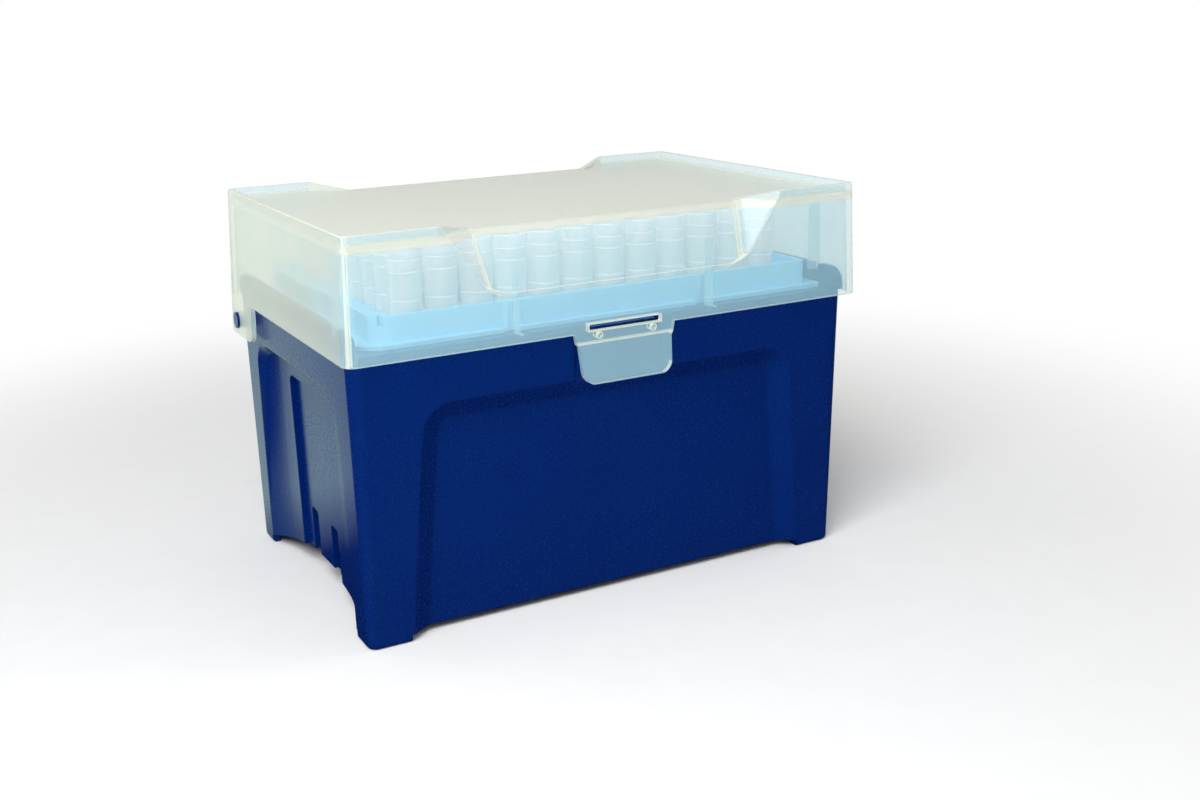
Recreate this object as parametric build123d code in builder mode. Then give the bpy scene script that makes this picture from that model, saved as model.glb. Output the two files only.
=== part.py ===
"""Hinged box of 96 pipette tips: base, tray, lid and twelve columns of tips.

Frame: millimetres, +Z up, the origin under the middle of the box on the surface it stands on.
X runs along the length, the latch is on the -Y side and the hinge on the +Y side.
"""
from build123d import *
from math import atan, degrees
import os

os.makedirs("parts", exist_ok=True)

# ---------------------------------------------------------------- driving dimensions
# Tip grid
pitch = 9.0
columns = 12
rows = 8

# Tip
tip_length = 85.9
tip_above_step = 21.95          # from the mouth down to the collar step
tip_mouth_radius = 4.2
tip_step_radius = 3.8           # just above the collar step
tip_step_width = 0.45           # how much narrower it is just below it
tip_end_radius = 0.75
tip_ring_drops = (3.0, 5.8, 12.4)   # sealing rings, measured down from the mouth
tip_ring_width = 0.5
tip_ring_depth = 0.15
# Bends below the collar step: share of the length, and how much narrower than just below it
tip_outside = ((0.492, 0.4), (0.652, 0.69), (0.779, 0.99), (0.891, 1.75))
tip_inside = ((0.779, 1.45), (0.492, 0.9))  # from the end up
tip_upper_wall = 0.6            # above the collar step
tip_neck_wall = 0.5             # just below it
tip_end_wall = 0.35
tip_inside_step = (0.9904, 0.5558)  # the step inside, from above the collar step to below it

# Heights, which follow from the length of the tips
floor_top = 6.5                 # above the surface the box stands on
floor_thickness = 1.3
tip_floor_gap = 0.6
tip_seat_sink = 0.15            # the collar steps rest this far below the base's rim
rim_above_seam = 1.2            # the base's rim stands up inside the lid
tip_headroom = 1.78             # between the tip mouths and the lid

# Tray
tray_end_border = 6.2           # from the grid's outer cells to the outside of the wall
tray_side_border = 2.0
tray_wall = 1.5
tray_wall_height = 7.1          # wall top above the base's rim
tray_plate_height = 5.14        # plate top above the base's rim
tray_flange_thickness = 1.0
tray_flange_end = 3.8           # how far the flange stands out at the ends
tray_flange_side = 2.0          # and at the front and back
tray_seat_web = 1.25            # material under each tip's collar step
tray_corner_radius = 1.5
tray_mark_length = 4.6          # cut front left corner that shows which way round it goes
tray_mark_width = 3.0
tray_panel_half = 27.8          # raised middle panel of the front and back wall
tray_panel_rise = 0.7
tray_grip_start = -2.0          # raised finger grip on each end wall
tray_grip_length = 26.0
tray_grip_rise = 1.3
tray_skirt_inset = 0.5          # the part below the flange is this much smaller
tray_core_wall = 1.2
flange_notch_width = 3.4
flange_notch_depth = 1.7
mark_slot_width = 1.2
mark_slot_depth = 2.5

# Base
base_wall = 2.2
base_draft = 0.012              # lean of the walls, millimetre per millimetre
base_corner_radius = 2.3
base_end_ledge = 7.76           # width of the rim and ledge at the ends
base_side_ledge = 5.32          # and at the front and back
base_ledge_thickness = 2.4
side_recess_depth = 3.2
side_recess_slope = 4.8
side_recess_drop = 13.2         # from the rim to the recess
side_recess_radius = 8.0
side_post_width = 17.2          # corner post beside the recess, at its top
side_foot_width = 11.7          # and at the foot
side_foot_height = 1.9
end_recess_depth = 3.5
end_recess_drop = 11.4
end_recess_radius = 8.0
end_post_width = 12.7
end_foot_width = 9.2
end_panel_half = 15.0
end_panel_step = 1.4
end_panel_radius = 2.5
end_strip_width = 3.0
end_recess_slope = 0.8          # lean of its sides, millimetre per millimetre
recess_margin = 0.8             # how far the cuts start outside the wall
end_panel_drop = 6.0            # from the recess top to the panel top
end_slot_spread = 7.7
end_slot_width = 4.9
end_slot_top = 18.2
end_arch_top = 6.2
end_arch_foot = 2.4
end_slot_radius = 1.0
recess_edge_radius = 1.2
recess_floor_radius = 1.5
floor_overlap = 0.6
crest_height = 5.0
crest_thickness = 2.0
crest_end_gap = 0.4
crest_inset = 0.15
crest_radius = 4.0
notch_width = 3.2
notch_depth = 2.0
foot_edge_radius = 1.2

# Lid
lid_draft = 0.05
lid_wall = 1.25
lid_top_thickness = 1.5
lid_corner_radius = 3.0
lid_end_gap = 0.7               # between the base and the inside of the lid's lower edge
lid_side_gap = 2.25
lid_rim_height = 2.34
lid_recess_depth = 6.1
lid_recess_lean = 0.451
lid_recess_bottom = 12.1        # above the lid's lower edge
lid_recess_top_half = 46.1      # on the outer wall, at the top of the rim
lid_recess_slope = 0.68         # lean of its sides in the front view
lid_recess_slant = 1.35         # and in the top view
lid_recess_radius = 5.0
lid_recess_edge_radius = 0.4
lid_top_edge_radius = 0.4
lid_rib_thickness = 1.3
front_rib_half = 26.6
front_rib_reach = 3.9
front_rib_top = 18.5
front_rib_gap = 0.3             # foot of the rib above the base's rim
end_rib_reach = 4.6
end_rib_spread = 8.75
end_rib_bottom = 12.05
notch_rib_offset = 34.0         # rib that drops into the notch of the end crest
notch_rib_gap = 0.7             # above the floor of the notch

# Hinge
hinge_from_back = 4.3           # pin axis in from the base's back wall
hinge_drop = 6.0                # below the seam
pin_radius = 2.2
pin_clearance = 0.05
pin_stand_out = 0.6             # beyond the ear
ear_drop = 9.8
ear_reach = 13.4                # from the pin's axis to the ear's front edge
ear_corner_radius = 2.5
ear_side_gap = 0.9              # between the ear and the base's end wall

# Latch
tab_half = 13.75
tab_lower_half = 12.7
tab_drop = 12.15
tab_crease_drop = 2.4
tab_thickness = 1.4
tab_flare = 0.16
tab_corner_radius = 3.2
slot_half = 9.9
slot_bottom = 0.5
slot_top = 2.0
catch_half = 9.3
catch_gap = 0.6                 # the catch stops short of the swinging lid
catch_height = 1.1
thumb_pocket_half = 12.0        # shallow pocket in the base behind the tab
thumb_pocket_depth = 0.8
mark_spread = 7.4
mark_drop = 0.6
mark_radius = 0.85
mark_rise = 0.25

# ---------------------------------------------------------------- sizes that follow
tip_neck_radius = tip_step_radius - tip_step_width
tip_seat = floor_top + tip_floor_gap + tip_length - tip_above_step
tip_mouth = tip_seat + tip_above_step
rim_height = tip_seat + tip_seat_sink
seam_height = rim_height - rim_above_seam
lid_height = tip_mouth + tip_headroom + lid_top_thickness + lid_rim_height - seam_height
notch_rib_bottom = rim_above_seam + crest_height - notch_depth + notch_rib_gap
tray_half_length = columns * pitch / 2 + tray_end_border
tray_half_width = rows * pitch / 2 + tray_side_border
tray_clearance = 0.4
opening_half_length = tray_half_length + tray_clearance
opening_half_width = tray_half_width + tray_clearance
base_half_length = opening_half_length + base_end_ledge     # at the rim
base_half_width = opening_half_width + base_side_ledge
lid_half_length = base_half_length + lid_end_gap + lid_wall     # at its lower edge
lid_half_width = base_half_width + lid_side_gap + lid_wall
lid_top = seam_height + lid_height
lid_panel_top = lid_top - lid_rim_height
lid_recess_inner_half = (
    lid_recess_top_half - lid_recess_slope * lid_rim_height - lid_recess_slant * lid_recess_depth
)
hinge_y = base_half_width - hinge_from_back
hinge_z = seam_height - hinge_drop
plate_top = rim_height + tray_plate_height
tip_bore_radius = tip_step_radius + 0.25
tip_hole_radius = tip_neck_radius + 0.15
ear_bottom = seam_height - ear_drop
end_wall_inside = base_half_length - base_draft * rim_height - end_recess_depth - end_panel_step - base_wall
ear_outside = lid_half_length + lid_draft * hinge_drop


def drafted_block(half_length, half_width, radius, draft, level, bottom, top):
    """Block with rounded corners, narrower towards its top by the draft (wider if it is negative).

    Its half sizes hold at the height level.
    """
    lean = draft * (level - bottom)
    with BuildPart() as block:
        with BuildSketch(Plane.XY.offset(bottom)):
            RectangleRounded(2 * (half_length + lean), 2 * (half_width + lean), radius)
        extrude(amount=top - bottom, taper=degrees(atan(draft)))
    return block.part


def arch_section(plane, top_half, foot_half, top, foot, radius):
    """Outline of a recess that runs out at the foot and has a rounded, narrower top."""
    with BuildSketch(plane) as section:
        with BuildLine():
            Polyline((-foot_half, foot), (foot_half, foot), (top_half, top), (-top_half, top), close=True)
        make_face()
        fillet(section.vertices().group_by(Axis.Y)[-1], radius)
    return section.sketch


def recess_inner_y(height):
    """How far from the middle the lid's recess wall stands, at a height above the seam."""
    panel = lid_height - lid_rim_height
    return lid_half_width - lid_draft * panel - lid_recess_depth + lid_recess_lean * (panel - height)


def tip_upper_radius(drop):
    """Outer radius of a tip between its mouth and its collar step."""
    return tip_mouth_radius + (tip_step_radius - tip_mouth_radius) * drop / tip_above_step


def wall_plane(direction):
    """Plane on a leaning outer wall of the base, facing in, its origin at the rim.

    Its X runs along the wall and its Y runs up it.
    """
    outward = Vector(*direction, 0)
    reach = base_half_length if direction[0] else base_half_width
    origin = outward * reach + Vector(0, 0, rim_height)
    along = Vector(direction[1], -direction[0], 0)
    return Plane(origin=origin, x_dir=along, z_dir=outward * -1 + Vector(0, 0, base_draft))


def arched_pocket(plane, top_half, foot_half, top, radius, depth, slope):
    """Pocket in a wall whose sides and top lean in by the slope, millimetre per millimetre."""
    with BuildPart() as pocket:
        for level in (-recess_margin, depth):
            lean = slope * level
            add(arch_section(
                plane.offset(level), top_half - lean, foot_half - lean, top - lean,
                -rim_height - 4, radius - lean,
            ))
        loft(ruled=True)
    return pocket.part


def side_recess(direction, grow):
    """Shallow arched recess of the front or back wall. The grown one shapes the inside."""
    slope = side_recess_slope / side_recess_depth
    return arched_pocket(
        wall_plane(direction),
        base_half_length - side_post_width + (1 + slope) * grow,
        base_half_length - side_foot_width + (1 + slope) * grow,
        -side_recess_drop + (1 + slope) * grow,
        side_recess_radius + (1 + slope) * grow,
        side_recess_depth + grow, slope,
    )


def end_recess(direction, grow):
    """Arched recess of an end wall: hollow flanks, a flat strip and a sunk middle panel."""
    plane = wall_plane(direction)
    outline_top = base_half_width - end_post_width + grow
    outline_foot = base_half_width - end_foot_width + grow
    strip_half = end_panel_half + end_strip_width + grow
    floor_depth = end_recess_depth + grow
    run = rim_height + 15
    with BuildPart() as recess:
        add(arched_pocket(
            plane, outline_top, outline_foot, -end_recess_drop + grow,
            end_recess_radius + grow, floor_depth, end_recess_slope,
        ))
        # The flanks are hollowed in the direction along the wall.
        with BuildSketch(Plane(origin=plane.origin, x_dir=plane.x_dir, z_dir=plane.y_dir)):
            with BuildLine():
                edge = (outline_foot + 1, recess_margin)
                middle = (strip_half + 0.45 * (outline_foot - strip_half), -0.82 * floor_depth)
                corner = (strip_half, -floor_depth)
                Line((-corner[0], corner[1]), corner)
                ThreePointArc(corner, middle, edge)
                Line(edge, (-edge[0], edge[1]))
                ThreePointArc((-edge[0], edge[1]), (-middle[0], middle[1]), (-corner[0], corner[1]))
            make_face()
        extrude(amount=-run, mode=Mode.INTERSECT)
        with BuildSketch(plane):
            add(arch_section(
                Plane.XY, end_panel_half + grow, end_panel_half + grow,
                -end_recess_drop - end_panel_drop + grow, -run, end_panel_radius,
            ))
        extrude(amount=floor_depth + end_panel_step)
    return recess.part


def all_recesses(grow):
    """The four recesses of the base's walls."""
    return [
        side_recess((0, -1), grow),
        side_recess((0, 1), grow),
        end_recess((-1, 0), grow),
        end_recess((1, 0), grow),
    ]


def hollow(bottom, top):
    """Inside of the base between two heights, one wall thickness within its outside."""
    with BuildPart() as space:
        add(drafted_block(
            base_half_length - base_wall, base_half_width - base_wall,
            base_corner_radius, -base_draft, rim_height, bottom, top,
        ))
        for recess in all_recesses(base_wall):
            add(recess, mode=Mode.SUBTRACT)
    return space.part


def outer_walls(box):
    """The four outer walls of the base."""
    faces = box.faces()
    return [
        ShapeList(
            face for face in faces
            if face.area > 900 and abs(face.normal_at().dot(axis.direction)) > 0.98
        ).sort_by(axis)[end]
        for axis in (Axis.X, Axis.Y) for end in (0, -1)
    ]


def side_recess_floors(box):
    """The sunk faces of the front and back recess."""
    floors = ShapeList(
        face for face in box.faces()
        if face.area > 900 and abs(face.normal_at().Y) > 0.98
        and abs(face.center().Y) < base_half_width - side_recess_depth / 2 - 1
    )
    return floors.sort_by(Axis.Y)


def recess_outline(wall):
    """The edges of a wall that run round its recess, without its corners, top and foot."""
    return ShapeList(
        edge for edge in wall.edges()
        if 2 * foot_edge_radius < edge.center().Z < rim_height - 5
        and not (
            abs(edge.center().X) > base_half_length - base_corner_radius - 2
            and abs(edge.center().Y) > base_half_width - base_corner_radius - 2
        )
    )


def foot_edges(box):
    """The outer edges of the four corners, at the surface the box stands on."""
    low_draft = base_draft * rim_height
    return ShapeList(
        edge for edge in box.edges().group_by(Axis.Z)[0]
        if abs(edge.center().X) > base_half_length - low_draft - 1.6
        or abs(edge.center().Y) > base_half_width - low_draft - 1.6
    )


def tray_outline(half_length, half_width):
    """Outline of the tray at one level. Its front left corner is cut to show which way round it goes."""
    with BuildSketch() as outline:
        with BuildLine():
            Polyline(
                (-half_length, -half_width + tray_mark_width),
                (-half_length + tray_mark_length, -half_width), (half_length, -half_width),
                (half_length, half_width), (-half_length, half_width), close=True,
            )
        make_face()
        fillet(outline.vertices(), tray_corner_radius)
    return outline.sketch


def lid_block(inset, bottom, top):
    """The lid's outer block, or one set in from it."""
    radius = lid_corner_radius + lid_draft * (seam_height - bottom) - 0.4 * inset
    return drafted_block(
        lid_half_length - inset, lid_half_width - inset, radius, lid_draft, seam_height, bottom, top,
    )


def front_and_back(box):
    """The outer front and back wall of the lid."""
    return ShapeList(
        face for face in box.faces() if face.area > 900 and abs(face.normal_at().Y) > 0.98
    ).sort_by(Axis.Y)


def lid_recess_outline(wall):
    """The edges of a wall of the lid that run round its finger recess."""
    return ShapeList(
        edge for edge in wall.edges()
        if abs(edge.center().X) < lid_recess_top_half
        and seam_height < edge.center().Z < lid_top - 0.5
    )


def top_outline(box):
    """The outer edges of the lid's top, without those of the finger recesses."""
    return ShapeList(
        edge for edge in box.edges().group_by(Axis.Z)[-1]
        if abs(edge.center().X) > lid_recess_top_half
    )


def lid_wall_y(height):
    """Where the inside of the lid's front wall is, at a height above the seam."""
    return -(lid_half_width - lid_wall - lid_draft * height)


def lid_recess_section(plane, side, height, grow):
    """Outline of a finger recess of the lid at one height above the seam."""
    far_y = lid_half_width + 4
    wall_y = lid_half_width - lid_draft * height
    inner_y = recess_inner_y(height) - 1.1 * grow
    wall_half = lid_recess_top_half - lid_recess_slope * (lid_height - height) + 1.45 * grow
    inner_half = wall_half - lid_recess_slant * (wall_y - inner_y)
    far_half = wall_half + lid_recess_slant * (far_y - wall_y)
    with BuildSketch(plane) as section:
        with BuildLine():
            Polyline(
                (-inner_half, side * inner_y), (inner_half, side * inner_y),
                (far_half, side * far_y), (-far_half, side * far_y), close=True,
            )
        make_face()
    return section.sketch


def lid_recess(side, grow):
    """Finger recess at the front (side -1) or back (side 1) of the lid's top, leaning inwards."""
    with BuildPart() as recess:
        for height in (lid_recess_bottom - grow, lid_height + 2):
            add(lid_recess_section(Plane.XY.offset(seam_height + height), side, height, grow))
        loft(ruled=True)
        slanted = recess.faces().filter_by(lambda face: abs(face.normal_at().X) > 0.3)
        for face in slanted:
            inner_edge = face.edges().sort_by(lambda edge: abs(edge.center().Y))[0]
            low_edge = face.edges().sort_by(Axis.Z)[0]
            fillet([inner_edge, low_edge], lid_recess_radius + grow)
    return recess.part


# ---------------------------------------------------------------- base
with BuildPart() as base:
    add(drafted_block(
        base_half_length, base_half_width, base_corner_radius,
        -base_draft, rim_height, 0, rim_height,
    ))
    for recess in all_recesses(0):
        add(recess, mode=Mode.SUBTRACT)
    # Soft edges where the recesses leave the walls, and where the side recesses reach their floors.
    for wall in outer_walls(base):
        fillet(recess_outline(wall), recess_edge_radius)
    for floor in side_recess_floors(base):
        fillet(recess_outline(floor), recess_floor_radius)
    fillet(foot_edges(base), foot_edge_radius)
    # Shallow pocket behind the latch tab, from the rim down into the front recess.
    with BuildSketch(Plane.XZ.offset(base_half_width - thumb_pocket_depth)):
        with Locations((0, rim_height - side_recess_drop / 2 - 1)):
            Rectangle(2 * thumb_pocket_half, side_recess_drop + 2)
    extrude(amount=thumb_pocket_depth + 1, mode=Mode.SUBTRACT)
    # Chamber for the tips above the floor, and the open underside below it.
    add(hollow(floor_top, rim_height - base_ledge_thickness), mode=Mode.SUBTRACT)
    add(hollow(-1, floor_top - floor_thickness), mode=Mode.SUBTRACT)
    # Opening of the ledge that carries the tray.
    with BuildSketch(Plane.XY.offset(rim_height)):
        RectangleRounded(2 * opening_half_length, 2 * opening_half_width, base_corner_radius)
    extrude(amount=-base_ledge_thickness - 1, mode=Mode.SUBTRACT)
    # Between the feet, the front and back walls stop just above the surface.
    with BuildSketch(Plane.XZ):
        with Locations((0, side_foot_height / 2 - 1)):
            Rectangle(2 * (base_half_length - side_foot_width), side_foot_height + 2)
    extrude(amount=base_half_width + 5, both=True, mode=Mode.SUBTRACT)
    # The end walls stop in a low arch.
    with BuildSketch(Plane.YZ):
        with BuildLine():
            arch_half = base_half_width - end_foot_width
            Line((-arch_half, -1), (-arch_half, end_arch_foot))
            ThreePointArc(
                (-arch_half, end_arch_foot), (-24, 4.4), (-end_panel_half + 1, end_arch_top),
            )
            Line((-end_panel_half + 1, end_arch_top), (end_panel_half - 1, end_arch_top))
            ThreePointArc((end_panel_half - 1, end_arch_top), (24, 4.4), (arch_half, end_arch_foot))
            Line((arch_half, end_arch_foot), (arch_half, -1))
            Line((arch_half, -1), (-arch_half, -1))
        make_face()
    extrude(amount=base_half_length + 5, both=True, mode=Mode.SUBTRACT)
    # The floor goes back in above the arch and runs a little into the end walls.
    with BuildSketch(Plane.XY.offset(floor_top)):
        Rectangle(2 * (end_wall_inside + floor_overlap), 2 * arch_half)
    extrude(amount=-floor_thickness)
    # Two slots in each end wall, open at the foot.
    for side in (-1, 1):
        with BuildSketch(Plane.YZ.offset(side * end_wall_inside)) as slots:
            with Locations((-end_slot_spread, end_slot_top / 2), (end_slot_spread, end_slot_top / 2)):
                Rectangle(end_slot_width, end_slot_top)
            fillet(slots.vertices().group_by(Axis.Y)[-1], end_slot_radius)
        extrude(amount=side * (base_wall + 6), mode=Mode.SUBTRACT)
    # A crest on the rim along each end, with a notch that takes a rib of the lid.
    with BuildSketch(Plane.YZ.offset(base_half_length - crest_inset - crest_thickness)) as crest:
        with Locations((0, rim_height + crest_height / 2 - 0.25)):
            Rectangle(2 * (base_half_width - crest_end_gap), crest_height + 0.5)
        fillet(crest.vertices().group_by(Axis.Y)[-1], crest_radius)
        with Locations((-notch_rib_offset, rim_height + crest_height - notch_depth / 2 + 0.5)):
            RectangleRounded(notch_width, notch_depth + 1, 0.9, mode=Mode.SUBTRACT)
    extrude(amount=crest_thickness)
    with BuildSketch(Plane.YZ.offset(-base_half_length + crest_inset)):
        add(crest.sketch_local)
    extrude(amount=crest_thickness)
    # Hinge pins, moulded on near the back of each end wall.
    for side in (-1, 1):
        with BuildSketch(Plane.YZ.offset(side * (base_half_length - 1.5))):
            with Locations((hinge_y, hinge_z)):
                Circle(pin_radius)
        extrude(amount=side * (ear_outside + pin_stand_out - base_half_length + 1.5))
    # Catch for the latch, on the front of the rim.
    with BuildSketch(Plane.YZ):
        with BuildLine():
            catch_y = -(lid_half_width - lid_wall - catch_gap)
            Polyline(
                (-base_half_width + 1.5, rim_height), (catch_y, rim_height - 0.3),
                (catch_y, rim_height - 0.6), (-base_half_width + 1.5, rim_height - catch_height - 0.8),
                close=True,
            )
        make_face()
    extrude(amount=catch_half, both=True)
base.part.label = "base"
export_step(base.part, "parts/base.step")

# ---------------------------------------------------------------- tray
with BuildPart() as tray:
    # Flange that lies on the base's ledge, notched for the front ribs of the lid.
    with BuildSketch(Plane.XY.offset(rim_height)):
        add(tray_outline(tray_half_length + tray_flange_end, tray_half_width + tray_flange_side))
        for side in (-1, 1):
            with Locations((side * front_rib_half, -tray_half_width - tray_flange_side)):
                Rectangle(flange_notch_width, 2 * flange_notch_depth, mode=Mode.SUBTRACT)
    extrude(amount=tray_flange_thickness)
    # Wall round the tips, with a raised middle panel at front and back.
    with BuildSketch(Plane.XY.offset(rim_height)):
        add(tray_outline(tray_half_length, tray_half_width))
        with BuildLine():
            rise_half = tray_panel_half - tray_panel_rise
            rise_width = tray_half_width + tray_panel_rise
            Polyline(
                (-tray_panel_half, -tray_half_width), (-rise_half, -rise_width),
                (rise_half, -rise_width), (tray_panel_half, -tray_half_width),
                (tray_panel_half, tray_half_width), (rise_half, rise_width),
                (-rise_half, rise_width), (-tray_panel_half, tray_half_width), close=True,
            )
        make_face()
    extrude(amount=tray_wall_height)
    # Raised finger grips on the end walls.
    with BuildSketch(Plane.XY.offset(rim_height)):
        with Locations((0, tray_grip_start + tray_grip_length / 2)):
            RectangleRounded(
                2 * (tray_half_length + tray_grip_rise), tray_grip_length, tray_grip_rise / 2,
            )
    extrude(amount=tray_wall_height)
    # The plate lies a little below the top of the wall.
    with BuildSketch(Plane.XY.offset(plate_top)):
        add(tray_outline(tray_half_length - tray_wall, tray_half_width - tray_wall))
    extrude(amount=tray_wall_height, mode=Mode.SUBTRACT)
    # Underneath, it goes on down inside the base's ledge to carry the tips.
    with BuildSketch(Plane.XY.offset(tip_seat - tray_seat_web)):
        add(tray_outline(tray_half_length - tray_skirt_inset, tray_half_width - tray_skirt_inset))
    extrude(amount=plate_top - tip_seat + tray_seat_web)
    # Stepped holes: each tip drops in until its collar step lands.
    for radius, bottom in ((tip_bore_radius, tip_seat), (tip_hole_radius, tip_seat - tray_seat_web)):
        with BuildSketch(Plane.XY.offset(bottom)):
            with GridLocations(pitch, pitch, columns, rows):
                Circle(radius)
        extrude(amount=plate_top - bottom, mode=Mode.SUBTRACT)
    # The borders beside the grid are cored out from below.
    with BuildSketch(Plane.XY.offset(tip_seat - tray_seat_web)):
        core_inner = columns * pitch / 2 + tray_core_wall
        core_outer = tray_half_length - tray_wall - tray_skirt_inset
        with Locations(((core_inner + core_outer) / 2, 0), (-(core_inner + core_outer) / 2, 0)):
            RectangleRounded(
                core_outer - core_inner, 2 * (tray_half_width - tray_mark_width - tray_wall), 1.0,
            )
    extrude(amount=plate_top - tip_seat + tray_seat_web - tray_wall, mode=Mode.SUBTRACT)
    # A narrow slot in the wall across the cut corner.
    with BuildSketch(Plane.XY.offset(rim_height + tray_wall_height)):
        with Locations((
            -tray_half_length + tray_mark_length / 2, -tray_half_width + tray_mark_width / 2,
        )):
            Rectangle(mark_slot_width, 2 * tray_wall, rotation=-33)
    extrude(amount=-mark_slot_depth, mode=Mode.SUBTRACT)
tray.part.label = "tray"
export_step(tray.part, "parts/tray.step")

# ---------------------------------------------------------------- lid
with BuildPart() as lid_inside:
    add(lid_block(lid_wall, ear_bottom - 1, lid_panel_top - lid_top_thickness))
    for side in (-1, 1):
        add(lid_recess(side, lid_wall), mode=Mode.SUBTRACT)

# The top is sunk inside a rim that locates the feet of a box stacked on this one.
with BuildPart() as stacking_pocket:
    with BuildSketch(Plane.XY.offset(lid_top + 1)):
        rim_inset = lid_draft * lid_height + lid_wall
        RectangleRounded(
            2 * (lid_half_length - rim_inset), 2 * (lid_half_width - rim_inset),
            lid_corner_radius - 0.7 * rim_inset,
        )
        for side in (-1, 1):
            add(lid_recess_section(Plane.XY, side, lid_height, lid_wall), mode=Mode.SUBTRACT)
        Rectangle(2 * lid_recess_inner_half, 2 * lid_half_width)
    extrude(amount=-lid_rim_height - 1)

with BuildPart() as tab:
    # Side view of the latch tongue: it follows the wall down to a crease, then leans outwards.
    with BuildSketch(Plane.YZ):
        with BuildLine():
            crease_y = -lid_half_width - tab_crease_drop * lid_draft
            lower_y = crease_y - tab_flare * (tab_drop - tab_crease_drop)
            Polyline(
                (crease_y, seam_height - tab_crease_drop), (lower_y, seam_height - tab_drop),
                (lower_y + tab_thickness, seam_height - tab_drop),
                (crease_y + tab_thickness, seam_height - tab_crease_drop),
                (-lid_half_width + lid_wall, seam_height + slot_bottom),
                (-lid_half_width, seam_height + slot_bottom - 0.1), close=True,
            )
        make_face()
    extrude(amount=tab_half + 1, both=True)
    # Front view of the tongue.
    with BuildSketch(Plane.XZ) as tongue:
        with BuildLine():
            Polyline(
                (-tab_half, seam_height + 1), (-tab_half, seam_height),
                (-tab_half + 0.5, seam_height - tab_crease_drop),
                (-tab_lower_half, seam_height - tab_crease_drop - 0.7),
                (-tab_lower_half + 0.6, seam_height - tab_drop),
                (tab_lower_half - 0.6, seam_height - tab_drop),
                (tab_lower_half, seam_height - tab_crease_drop - 0.7),
                (tab_half - 0.5, seam_height - tab_crease_drop),
                (tab_half, seam_height), (tab_half, seam_height + 1), close=True,
            )
        make_face()
        fillet(tongue.vertices().group_by(Axis.Y)[0], tab_corner_radius)
    extrude(amount=lid_half_width + 10, mode=Mode.INTERSECT)
    # Two small round marks beside the slot.
    with BuildSketch(Plane.XZ.offset(-crease_y - mark_rise)):
        with Locations(
            (-mark_spread, seam_height - mark_drop), (mark_spread, seam_height - mark_drop),
        ):
            Circle(mark_radius)
            Circle(mark_radius / 2, mode=Mode.SUBTRACT)
    extrude(amount=3 * mark_rise)

with BuildPart() as ribs:
    # On the front wall: their feet stand over the base's rim when the lid is shut.
    for side in (-1, 1):
        with BuildSketch(Plane.YZ.offset(side * front_rib_half)):
            with BuildLine():
                rib_top = seam_height + front_rib_top
                rib_foot = rim_height + front_rib_gap
                rib_y = -(lid_half_width - lid_wall - front_rib_reach)
                Polyline(
                    (rib_y, rib_foot), (rib_y, rib_top), (lid_wall_y(front_rib_top) - 0.4, rib_top),
                    (lid_wall_y(rib_foot - seam_height) - 0.4, rib_foot), close=True,
                )
            make_face()
        extrude(amount=lid_rib_thickness / 2, both=True)
    # On the end walls: the front one on each side drops into the notch of the base's crest.
    for rib_place, rib_bottom in (
        (-notch_rib_offset, notch_rib_bottom), (-end_rib_spread, end_rib_bottom),
        (end_rib_spread, end_rib_bottom),
    ):
        for side in (-1, 1):
            with BuildSketch(Plane.XZ.offset(-rib_place)):
                with BuildLine():
                    wall_low = lid_half_length - lid_wall - lid_draft * rib_bottom
                    wall_high = lid_half_length - lid_wall - lid_draft * lid_height
                    rib_x = lid_half_length - lid_wall - end_rib_reach
                    rib_high = lid_panel_top - lid_top_thickness / 2
                    Polyline(
                        (side * rib_x, seam_height + rib_bottom),
                        (side * (wall_low + 0.4), seam_height + rib_bottom),
                        (side * (wall_high + 0.4), rib_high), (side * rib_x, rib_high), close=True,
                    )
                make_face()
            extrude(amount=lid_rib_thickness / 2, both=True)
    for side in (-1, 1):
        add(lid_recess(side, lid_wall / 2), mode=Mode.SUBTRACT)

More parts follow.
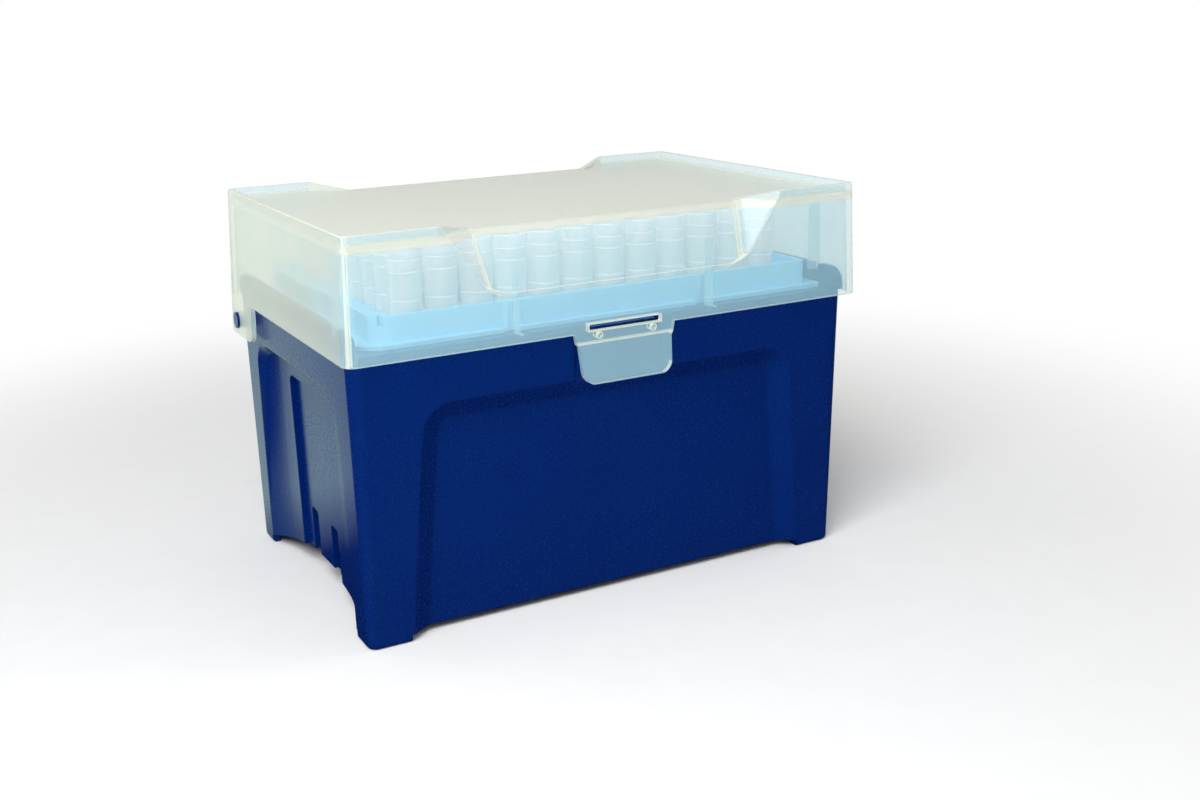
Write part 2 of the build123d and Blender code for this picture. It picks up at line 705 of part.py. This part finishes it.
with BuildPart() as lid:
    add(lid_block(0, ear_bottom, lid_top))
    for side in (-1, 1):
        add(lid_recess(side, 0), mode=Mode.SUBTRACT)
    # Soft edges round the finger recesses and along the top.
    for wall in (front_and_back(lid)[0], front_and_back(lid)[-1]):
        fillet(lid_recess_outline(wall), lid_recess_edge_radius)
    fillet(top_outline(lid), lid_top_edge_radius)
    add(lid_inside.part, mode=Mode.SUBTRACT)
    add(ribs.part)
    add(stacking_pocket.part, mode=Mode.SUBTRACT)
    # Along the slanted sides of the recesses the rim runs down to the top panel.
    with BuildSketch(Plane.XZ):
        with BuildLine():
            Polyline(
                (-lid_recess_top_half, lid_top), (-lid_recess_inner_half, lid_panel_top),
                (lid_recess_inner_half, lid_panel_top), (lid_recess_top_half, lid_top),
                (lid_recess_top_half, lid_top + 1), (-lid_recess_top_half, lid_top + 1), close=True,
            )
        make_face()
    extrude(amount=lid_half_width + 1, both=True, mode=Mode.SUBTRACT)
    # Below the seam only the two hinge ears are left.
    with BuildSketch(Plane.XY.offset(ear_bottom - 1)):
        Rectangle(2 * lid_half_length + 20, 2 * lid_half_width + 20)
        ear_inside = base_half_length + ear_side_gap
        for side in (-1, 1):
            with Locations((side * (ear_inside + 10), hinge_y - ear_reach + 20)):
                Rectangle(20, 40, mode=Mode.SUBTRACT)
    extrude(amount=seam_height - ear_bottom + 1, mode=Mode.SUBTRACT)
    with BuildSketch(Plane.YZ) as ears:
        with BuildLine():
            Polyline(
                (hinge_y - ear_reach - 5, ear_bottom - 5), (hinge_y - ear_reach - 5, seam_height),
                (hinge_y - ear_reach, seam_height), (hinge_y - ear_reach, ear_bottom),
                (lid_half_width + 5, ear_bottom), (lid_half_width + 5, ear_bottom - 5), close=True,
            )
        make_face()
        fillet(
            ears.vertices().filter_by_position(Axis.X, hinge_y - ear_reach - 1, hinge_y - ear_reach + 1)
            .sort_by(Axis.Y)[0], ear_corner_radius,
        )
    extrude(amount=lid_half_length + 10, both=True, mode=Mode.SUBTRACT)
    with BuildSketch(Plane.YZ):
        with Locations((hinge_y, hinge_z)):
            Circle(pin_radius + pin_clearance)
    extrude(amount=lid_half_length + 10, both=True, mode=Mode.SUBTRACT)
    # Latch tongue, and the slot above it for the base's catch.
    add(tab.part)
    with BuildSketch(Plane.XZ.offset(lid_half_width - 4)):
        with Locations((0, seam_height + (slot_bottom + slot_top) / 2)):
            RectangleRounded(2 * slot_half, slot_top - slot_bottom, 0.4)
    extrude(amount=8, mode=Mode.SUBTRACT)
lid.part.label = "lid"
export_step(lid.part, "parts/lid.step")

# ---------------------------------------------------------------- tips
with BuildPart() as tip:
    with BuildSketch(Plane.XZ):
        with BuildLine():
            outside = [(tip_mouth_radius - 0.15, tip_mouth), (tip_mouth_radius, tip_mouth - 0.3)]
            for drop in tip_ring_drops:
                radius = tip_upper_radius(drop)
                outside += [
                    (radius, tip_mouth - drop + tip_ring_width / 2),
                    (radius - tip_ring_depth, tip_mouth - drop),
                    (radius, tip_mouth - drop - tip_ring_width / 2),
                ]
            outside += [(tip_step_radius, tip_seat), (tip_neck_radius, tip_seat)]
            outside += [
                (tip_neck_radius - less, tip_mouth - share * tip_length) for share, less in tip_outside
            ]
            end = tip_mouth - tip_length
            ends = [(tip_end_radius, end), (tip_end_radius - tip_end_wall, end)]
            inside = [
                (tip_neck_radius - less, tip_mouth - share * tip_length) for share, less in tip_inside
            ]
            inside += [
                (tip_neck_radius - tip_neck_wall, tip_seat - tip_inside_step[1]),
                (tip_step_radius - tip_upper_wall, tip_seat + tip_inside_step[0]),
                (tip_mouth_radius - tip_upper_wall, tip_mouth),
            ]
            Polyline(*outside, *ends, *inside, close=True)
        make_face()
    revolve(axis=Axis.Z)

for column in range(columns):
    column_x = (column - (columns - 1) / 2) * pitch
    with BuildPart() as tips_column:
        with Locations([(column_x, (row - (rows - 1) / 2) * pitch) for row in range(rows)]):
            add(tip.part)
    tips_column.part.label = f"tips_column_{column + 1:02d}"
    export_step(tips_column.part, f"parts/{tips_column.part.label}.step")
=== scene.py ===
import math
import bpy
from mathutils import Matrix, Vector

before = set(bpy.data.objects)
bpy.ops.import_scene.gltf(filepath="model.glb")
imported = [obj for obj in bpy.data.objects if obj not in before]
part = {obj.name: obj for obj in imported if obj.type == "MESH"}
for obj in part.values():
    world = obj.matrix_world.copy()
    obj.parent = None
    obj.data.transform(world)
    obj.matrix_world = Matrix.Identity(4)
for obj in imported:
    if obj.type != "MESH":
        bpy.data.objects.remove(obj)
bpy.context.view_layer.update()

# ---------------------------------------------------------------- base
# The lower half of the box: one thin-walled moulding in navy polypropylene, with a recess in
# each wall, four corner posts as feet, a crest on the rim at both ends, and two hinge pins.


def linear(hex_colour, alpha=1.0):
    """Scene-linear colour from an sRGB hex value."""
    channels = [int(hex_colour[i:i + 2], 16) / 255 for i in (1, 3, 5)]
    return (*[c / 12.92 if c <= 0.04045 else ((c + 0.055) / 1.055) ** 2.4 for c in channels], alpha)


def add_node(tree, kind, inputs=None, **settings):
    """Adds a node with its settings. An input is a value, or a socket that it is linked to."""
    node = tree.nodes.new(kind)
    for name, value in settings.items():
        setattr(node, name, value)
    for name, value in (inputs or {}).items():
        if isinstance(value, bpy.types.NodeSocket):
            tree.links.new(value, node.inputs[name])
        else:
            node.inputs[name].default_value = value
    return node


def new_material(name):
    """An empty node material and its tree."""
    material = bpy.data.materials.new(name)
    material.use_nodes = True
    material.node_tree.nodes.clear()
    return material, material.node_tree


# Navy polypropylene, moulded against a spark-eroded steel face: a deep blue with a fine matt
# grain that turns silvery where the light grazes it. Such a grain is commonly near 0.1 mm, too
# fine to show, so it is drawn at 0.4 mm. The blue drifts a little over some 30 mm, as the melt
# flowed.
grain_width = 0.0004
grain_depth = 0.00002
base_flow_width = 0.03
base_edge_radius = 0.0007
navy_moulded, tree = new_material("navy polypropylene, spark-eroded finish")
place = add_node(tree, "ShaderNodeTexCoord")
grain = add_node(tree, "ShaderNodeTexNoise", {
    "Vector": place.outputs["Object"], "Scale": 1 / grain_width, "Detail": 2.0, "Roughness": 0.6,
})
flow = add_node(tree, "ShaderNodeTexNoise", {
    "Vector": place.outputs["Object"], "Scale": 1 / base_flow_width, "Detail": 3.0,
})
tint = add_node(tree, "ShaderNodeMix", {
    "Factor": flow.outputs["Fac"], "A": linear("#001d64"), "B": linear("#00236c"),
}, data_type="RGBA")
shine = add_node(tree, "ShaderNodeMapRange", {
    "Value": grain.outputs["Fac"], "From Min": 0.3, "From Max": 0.7, "To Min": 0.2, "To Max": 0.3,
})
edge = add_node(tree, "ShaderNodeBevel", {"Radius": base_edge_radius}, samples=4)
relief = add_node(tree, "ShaderNodeBump", {
    "Height": grain.outputs["Fac"], "Distance": grain_depth, "Strength": 0.15,
    "Normal": edge.outputs["Normal"],
})
skin = add_node(tree, "ShaderNodeBsdfPrincipled", {
    "Base Color": tint.outputs["Result"], "Roughness": shine.outputs["Result"], "IOR": 1.49,
    "Specular Tint": linear("#8fd4e6"), "Normal": relief.outputs["Normal"],
})
add_node(tree, "ShaderNodeOutputMaterial", {"Surface": skin.outputs["BSDF"]})
part["base"].data.materials.clear()
part["base"].data.materials.append(navy_moulded)

# ---------------------------------------------------------------- tray
# The plate that carries the tips, lying in the top of the base: light blue polypropylene,
# moulded in one with its wall, its flange and the raised grips at the ends.

# Light blue polypropylene, full of pigment, so nothing shows through it, with a satin skin.
tray_flow_width = 0.02
tray_edge_radius = 0.0003
sky_moulded, tree = new_material("light blue polypropylene, satin")
place = add_node(tree, "ShaderNodeTexCoord")
flow = add_node(tree, "ShaderNodeTexNoise", {
    "Vector": place.outputs["Object"], "Scale": 1 / tray_flow_width, "Detail": 2.0,
})
tint = add_node(tree, "ShaderNodeMix", {
    "Factor": flow.outputs["Fac"], "A": linear("#8fd0f8"), "B": linear("#9ad6fa"),
}, data_type="RGBA")
edge = add_node(tree, "ShaderNodeBevel", {"Radius": tray_edge_radius}, samples=4)
skin = add_node(tree, "ShaderNodeBsdfPrincipled", {
    "Base Color": tint.outputs["Result"], "Roughness": 0.35, "IOR": 1.49,
    "Normal": edge.outputs["Normal"],
})
add_node(tree, "ShaderNodeOutputMaterial", {"Surface": skin.outputs["BSDF"]})
part["tray"].data.materials.clear()
part["tray"].data.materials.append(sky_moulded)

# ---------------------------------------------------------------- tips
# Ninety-six pipette tips in twelve columns: thin cones of clear polypropylene, each with
# sealing rings under its mouth, hanging by a step in its collar from the holes of the tray.

# Natural polypropylene, polished mould: colourless but milky, so stacked walls turn pale. It
# scatters most light forward, so it throws only a thin shadow.
milky_clear, tree = new_material("natural polypropylene, thin and clear")
slant = add_node(tree, "ShaderNodeLayerWeight", {"Blend": 0.5})
veil = add_node(tree, "ShaderNodeMapRange", {
    "Value": slant.outputs["Facing"], "From Min": 0.2, "To Min": 0.32, "To Max": 0.75,
})
# The mouth, the sealing rings and the steps face up or down, and show as pale lines: partly the
# milky plastic seen edgewise, partly a painted highlight.
upward = add_node(tree, "ShaderNodeSeparateXYZ", {
    "Vector": add_node(tree, "ShaderNodeTexCoord").outputs["Normal"],
})
steep = add_node(tree, "ShaderNodeMath", {0: upward.outputs["Z"]}, operation="ABSOLUTE")
line = add_node(tree, "ShaderNodeMapRange", {
    "Value": steep.outputs["Value"], "From Min": 0.15, "From Max": 0.4,
})
depth_and_highlight = add_node(tree, "ShaderNodeMix", {
    "Factor": line.outputs["Result"], "A": veil.outputs["Result"], "B": 0.52,
})
ray = add_node(tree, "ShaderNodeLightPath")
cover = add_node(tree, "ShaderNodeMix", {
    "Factor": ray.outputs["Is Shadow Ray"], "A": depth_and_highlight.outputs["Result"], "B": 0.02,
})
tint = add_node(tree, "ShaderNodeMix", {
    "Factor": line.outputs["Result"], "A": linear("#fbfdff"), "B": linear("#fdfeff"),
}, data_type="RGBA")
skin = add_node(tree, "ShaderNodeBsdfPrincipled", {
    "Base Color": tint.outputs["Result"], "Roughness": 0.25, "IOR": 1.49,
    "Alpha": cover.outputs["Result"],
})
add_node(tree, "ShaderNodeOutputMaterial", {"Surface": skin.outputs["BSDF"]})
for name, piece in part.items():
    if name.startswith("tips_column"):
        piece.data.materials.clear()
        piece.data.materials.append(milky_clear)

# ---------------------------------------------------------------- lid
# The hinged cover: one thin moulding in natural polypropylene, with a recess for the fingers
# at front and back, ribs inside that stand over notches in the tray and in the base's crests,
# stiffening ribs at the ends, two hinge ears and the latch tab.

# Natural polypropylene, about 1.25 mm thick: clear where one looks straight through it, and
# milky where the way through it is long, as on the top and the end walls. Every rounded edge is
# drawn milky white, partly for its long way through the wall and partly as a painted highlight.
milky_wall, tree = new_material("natural polypropylene, glossy wall")
slant = add_node(tree, "ShaderNodeLayerWeight", {"Blend": 0.5})
veil = add_node(tree, "ShaderNodeMapRange", {
    "Value": slant.outputs["Facing"], "From Min": 0.6, "From Max": 0.9,
    "To Min": 0.29, "To Max": 0.76,
})
# The flat walls face one of six ways, counting both sides as one: along X, Y or Z, as the
# leaning wall of the finger recesses, as their slanted sides, or as the latch tongue. The last
# two ways lie within the wide upright corners. What faces none of these is a rounded edge.
facing = add_node(tree, "ShaderNodeVectorMath", {
    0: add_node(tree, "ShaderNodeTexCoord").outputs["Normal"],
}, operation="ABSOLUTE")
flatness = 0.0
for way in (
    (1, 0, 0), (0, 1, 0), (0, 0, 1), (0, 0.912, 0.411), (0.548, 0.739, 0.394), (0, 0.987, 0.158),
    (0.924, 0.383, 0), (0.383, 0.924, 0),
):
    match = add_node(tree, "ShaderNodeVectorMath", {
        0: facing.outputs["Vector"], 1: way,
    }, operation="DOT_PRODUCT")
    flatness = add_node(tree, "ShaderNodeMath", {
        0: flatness, 1: match.outputs["Value"],
    }, operation="MAXIMUM").outputs["Value"]
# What faces none of these ways is made milky white: partly the long way through the wall, partly a
# painted highlight.
edge = add_node(tree, "ShaderNodeMapRange", {
    "Value": flatness, "From Min": 0.985, "From Max": 0.96,
})
# On the latch the crease of the tongue, the rim of the slot and the two moulded rings are drawn
# as pale lines. Heights are above the table, and the slot and the rings lie evenly about the middle
# of the lid.
crease_height = 0.0676
crease_half_width = 0.0002
slot_height = 0.07125
slot_half_height = 0.00075
slot_half_length = 0.0099
rim_offset = 0.00012
ring_place = (0.0074, 0.0, 0.0694)
ring_radius = 0.00078
line_half_width = 0.00018
latch_front = -0.04
place = add_node(tree, "ShaderNodeSeparateXYZ", {
    "Vector": add_node(tree, "ShaderNodeTexCoord").outputs["Object"],
})
across = add_node(tree, "ShaderNodeMath", {0: place.outputs["X"]}, operation="ABSOLUTE")
crease = add_node(tree, "ShaderNodeMath", {
    0: place.outputs["Z"], 1: crease_height, 2: crease_half_width,
}, operation="COMPARE")
beside = add_node(tree, "ShaderNodeMath", {
    0: across.outputs["Value"], 1: slot_half_length,
}, operation="SUBTRACT")
level = add_node(tree, "ShaderNodeMath", {
    0: place.outputs["Z"], 1: slot_height,
}, operation="SUBTRACT")
apart = add_node(tree, "ShaderNodeMath", {0: level.outputs["Value"]}, operation="ABSOLUTE")
above = add_node(tree, "ShaderNodeMath", {
    0: apart.outputs["Value"], 1: slot_half_height,
}, operation="SUBTRACT")
outside = add_node(tree, "ShaderNodeMath", {
    0: beside.outputs["Value"], 1: above.outputs["Value"],
}, operation="MAXIMUM")
slot_rim = add_node(tree, "ShaderNodeMath", {
    0: outside.outputs["Value"], 1: rim_offset, 2: line_half_width,
}, operation="COMPARE")
spot = add_node(tree, "ShaderNodeCombineXYZ", {
    "X": across.outputs["Value"], "Z": place.outputs["Z"],
})
middle = add_node(tree, "ShaderNodeVectorMath", {
    0: spot.outputs["Vector"], 1: ring_place,
}, operation="DISTANCE")
ring = add_node(tree, "ShaderNodeMath", {
    0: middle.outputs["Value"], 1: ring_radius, 2: line_half_width,
}, operation="COMPARE")
front = add_node(tree, "ShaderNodeMath", {
    0: place.outputs["Y"], 1: latch_front,
}, operation="LESS_THAN")
# The walls are thick, and so milkier, all along the line where the sunk top meets them.
top_height = 0.0956
upward = add_node(tree, "ShaderNodeSeparateXYZ", {"Vector": facing.outputs["Vector"]})
upright = add_node(tree, "ShaderNodeMath", {0: upward.outputs["Z"], 1: 0.5}, operation="LESS_THAN")
height = add_node(tree, "ShaderNodeMath", {
    0: place.outputs["Z"], 1: top_height,
}, operation="SUBTRACT")
off = add_node(tree, "ShaderNodeMath", {0: height.outputs["Value"]}, operation="ABSOLUTE")
joined = add_node(tree, "ShaderNodeMapRange", {
    "Value": off.outputs["Value"], "From Min": 0.0013, "From Max": 0.0003, "To Max": 0.8,
})
seam = add_node(tree, "ShaderNodeMath", {
    0: joined.outputs["Result"], 1: upright.outputs["Value"],
}, operation="MULTIPLY")
pale_marks = 0.0
for mark in (crease, slot_rim, ring):
    pale_marks = add_node(tree, "ShaderNodeMath", {
        0: pale_marks, 1: mark.outputs["Value"],
    }, operation="MAXIMUM").outputs["Value"]
pale_marks = add_node(tree, "ShaderNodeMath", {
    0: pale_marks, 1: front.outputs["Value"], 2: seam.outputs["Value"],
}, operation="MULTIPLY_ADD").outputs["Value"]
pale = add_node(tree, "ShaderNodeMath", {
    0: edge.outputs["Result"], 1: pale_marks,
}, operation="MAXIMUM")
depth_and_highlight = add_node(tree, "ShaderNodeMix", {
    "Factor": pale.outputs["Value"], "A": veil.outputs["Result"], "B": 0.78,
})
# The veil scatters most light forward, so it throws only a thin shadow.
ray = add_node(tree, "ShaderNodeLightPath")
cover = add_node(tree, "ShaderNodeMix", {
    "Factor": ray.outputs["Is Shadow Ray"], "A": 1.0, "B": 0.04,
})
# Where the veil is thin it scatters mostly blue; where it is deep it turns a warm white, as do the
# pale edges and marks; on the edges that white is partly a painted highlight.
warmth = add_node(tree, "ShaderNodeMapRange", {
    "Value": depth_and_highlight.outputs["Result"], "From Min": 0.3, "From Max": 0.46,
})
tint = add_node(tree, "ShaderNodeMix", {
    "Factor": warmth.outputs["Result"], "A": linear("#b8ebfc"), "B": linear("#dbe3d8"),
}, data_type="RGBA")
skin = add_node(tree, "ShaderNodeBsdfPrincipled", {
    "Base Color": tint.outputs["Result"], "Roughness": 0.14, "IOR": 1.49,
    "Alpha": cover.outputs["Result"],
})
# What passes straight through has lost that blue, and comes out a little yellow.
passed = add_node(tree, "ShaderNodeBsdfTransparent", {"Color": linear("#fef9f4")})
wall = add_node(tree, "ShaderNodeMixShader", {
    "Fac": depth_and_highlight.outputs["Result"], 1: passed.outputs["BSDF"], 2: skin.outputs["BSDF"],
})
add_node(tree, "ShaderNodeOutputMaterial", {"Surface": wall.outputs["Shader"]})
part["lid"].data.materials.clear()
part["lid"].data.materials.append(milky_wall)

# ---------------------------------------------------------------- table, light and camera
# A plain table of white paper that runs out into the white surround. A soft lamp stands above
# the left of the front, with weak ones to the right and behind; in front the room is dark.
table_half = 3.0
fibre_length = 0.01
paper_until = 0.12
white_from = 0.34
table_mesh = bpy.data.meshes.new("table")
table_mesh.from_pydata([
    (-table_half, -table_half, 0), (table_half, -table_half, 0),
    (table_half, table_half, 0), (-table_half, table_half, 0),
], [], [(0, 1, 2, 3)])
table = bpy.data.objects.new("table", table_mesh)
bpy.context.scene.collection.objects.link(table)
# Uncoated white paper: matt, with cloudy fibres that hardly show.
paper, tree = new_material("white paper, matt")
place = add_node(tree, "ShaderNodeTexCoord")
fibre = add_node(tree, "ShaderNodeTexNoise", {
    "Vector": place.outputs["Object"], "Scale": 1 / fibre_length,
})
tint = add_node(tree, "ShaderNodeMix", {
    "Factor": fibre.outputs["Fac"], "A": linear("#f6f6f6"), "B": linear("#fafafa"),
}, data_type="RGBA")
skin = add_node(tree, "ShaderNodeBsdfPrincipled", {
    "Base Color": tint.outputs["Result"], "Roughness": 0.8, "Specular IOR Level": 0.1,
})
# Away from the box the paper passes into the plain white of the surround. In the box's glossy walls
# the paper is a painted reflection: it glows, though it is no lamp, a bright greenish white behind
# the box, short of its far left, and near black in front of it.
away = add_node(tree, "ShaderNodeVectorMath", {0: place.outputs["Object"]}, operation="LENGTH")
fade = add_node(tree, "ShaderNodeMapRange", {
    "Value": away.outputs["Value"], "From Min": paper_until, "From Max": white_from,
}, interpolation_type="SMOOTHSTEP")
ray = add_node(tree, "ShaderNodeLightPath")
seen = add_node(tree, "ShaderNodeMath", {
    0: fade.outputs["Result"], 1: ray.outputs["Is Camera Ray"],
}, operation="MULTIPLY")
even = add_node(tree, "ShaderNodeMath", {
    0: seen.outputs["Value"], 1: ray.outputs["Is Glossy Ray"],
}, operation="MAXIMUM")
side = add_node(tree, "ShaderNodeSeparateXYZ", {"Vector": place.outputs["Object"]})
behind = add_node(tree, "ShaderNodeMapRange", {
    "Value": side.outputs["Y"], "From Min": 0.02, "From Max": 0.07,
})
along = add_node(tree, "ShaderNodeVectorMath", {
    0: place.outputs["Object"], 1: (1.0, 0.3, 0.0),
}, operation="DOT_PRODUCT")
near = add_node(tree, "ShaderNodeMapRange", {
    "Value": along.outputs["Value"], "From Min": -0.115, "From Max": -0.072,
})
painted_glow_mask = add_node(tree, "ShaderNodeMath", {
    0: behind.outputs["Result"], 1: near.outputs["Result"],
}, operation="MULTIPLY")
# The painted reflection's colours: near black in front, a greenish white in the painted glow.
mirrored = add_node(tree, "ShaderNodeMix", {
    "Factor": painted_glow_mask.outputs["Value"], "A": linear("#0c0c0c"), "B": linear("#e2fff0"),
}, data_type="RGBA")
colour = add_node(tree, "ShaderNodeMix", {
    "Factor": ray.outputs["Is Glossy Ray"], "A": linear("#ffffff"), "B": mirrored.outputs["Result"],
}, data_type="RGBA")
glow = add_node(tree, "ShaderNodeEmission", {"Color": colour.outputs["Result"], "Strength": 1.0})
blend = add_node(tree, "ShaderNodeMixShader", {
    0: even.outputs["Value"], 1: skin.outputs["BSDF"], 2: glow.outputs["Emission"],
})
add_node(tree, "ShaderNodeOutputMaterial", {"Surface": blend.outputs["Shader"]})
table_mesh.materials.append(paper)


def soft_lamp(name, place, size, power):
    """A square lamp that faces the middle of the box."""
    light = bpy.data.lights.new(name, "AREA")
    light.size = size
    light.energy = power
    lamp = bpy.data.objects.new(name, light)
    lamp.location = place
    aim = Vector((0, 0, 0.05)) - Vector(place)
    lamp.rotation_euler = aim.to_track_quat("-Z", "Y").to_euler()
    bpy.context.scene.collection.objects.link(lamp)


soft_lamp("key", (-0.28, -0.27, 0.4), 0.3, 2.55)
soft_lamp("fill_right", (0.55, -0.12, 0.32), 0.4, 0.9)
soft_lamp("back_left", (-0.75, 0.85, 0.28), 0.6, 2.0)

world = bpy.data.worlds.new("studio")
world.use_nodes = True
tree = world.node_tree
tree.nodes.clear()
ray = add_node(tree, "ShaderNodeLightPath")
seen = add_node(tree, "ShaderNodeMath", {
    0: ray.outputs["Is Camera Ray"], 1: ray.outputs["Is Transmission Ray"],
}, operation="MAXIMUM")
side = add_node(tree, "ShaderNodeSeparateXYZ", {
    "Vector": add_node(tree, "ShaderNodeTexCoord").outputs["Generated"],
})
backdrop = add_node(tree, "ShaderNodeMapRange", {
    "Value": side.outputs["Y"], "From Min": 0.0, "From Max": 0.6, "To Min": 0.03, "To Max": 0.7,
})
mirrored = add_node(tree, "ShaderNodeMix", {
    "Factor": ray.outputs["Is Glossy Ray"], "A": 0.3, "B": backdrop.outputs["Result"],
})
strength = add_node(tree, "ShaderNodeMix", {
    "Factor": seen.outputs["Value"], "A": mirrored.outputs["Result"], "B": 1.0,
})
air = add_node(tree, "ShaderNodeBackground", {
    "Color": linear("#ffffff"), "Strength": strength.outputs["Result"],
})
add_node(tree, "ShaderNodeOutputWorld", {"Surface": air.outputs["Background"]})
bpy.context.scene.world = world

lens = bpy.data.cameras.new("camera")
lens.lens = 40.466
lens.sensor_width = 36.0
lens.shift_x = 0.0529
lens.clip_start = 0.01
camera = bpy.data.objects.new("camera", lens)
camera.location = (-0.16047, -0.31570, 0.14663)
camera.rotation_euler = [math.radians(turn) for turn in (73.2421, 1.4716, -27.3274)]
bpy.context.scene.collection.objects.link(camera)
bpy.context.scene.camera = camera
bpy.context.scene.view_settings.view_transform = "Standard"
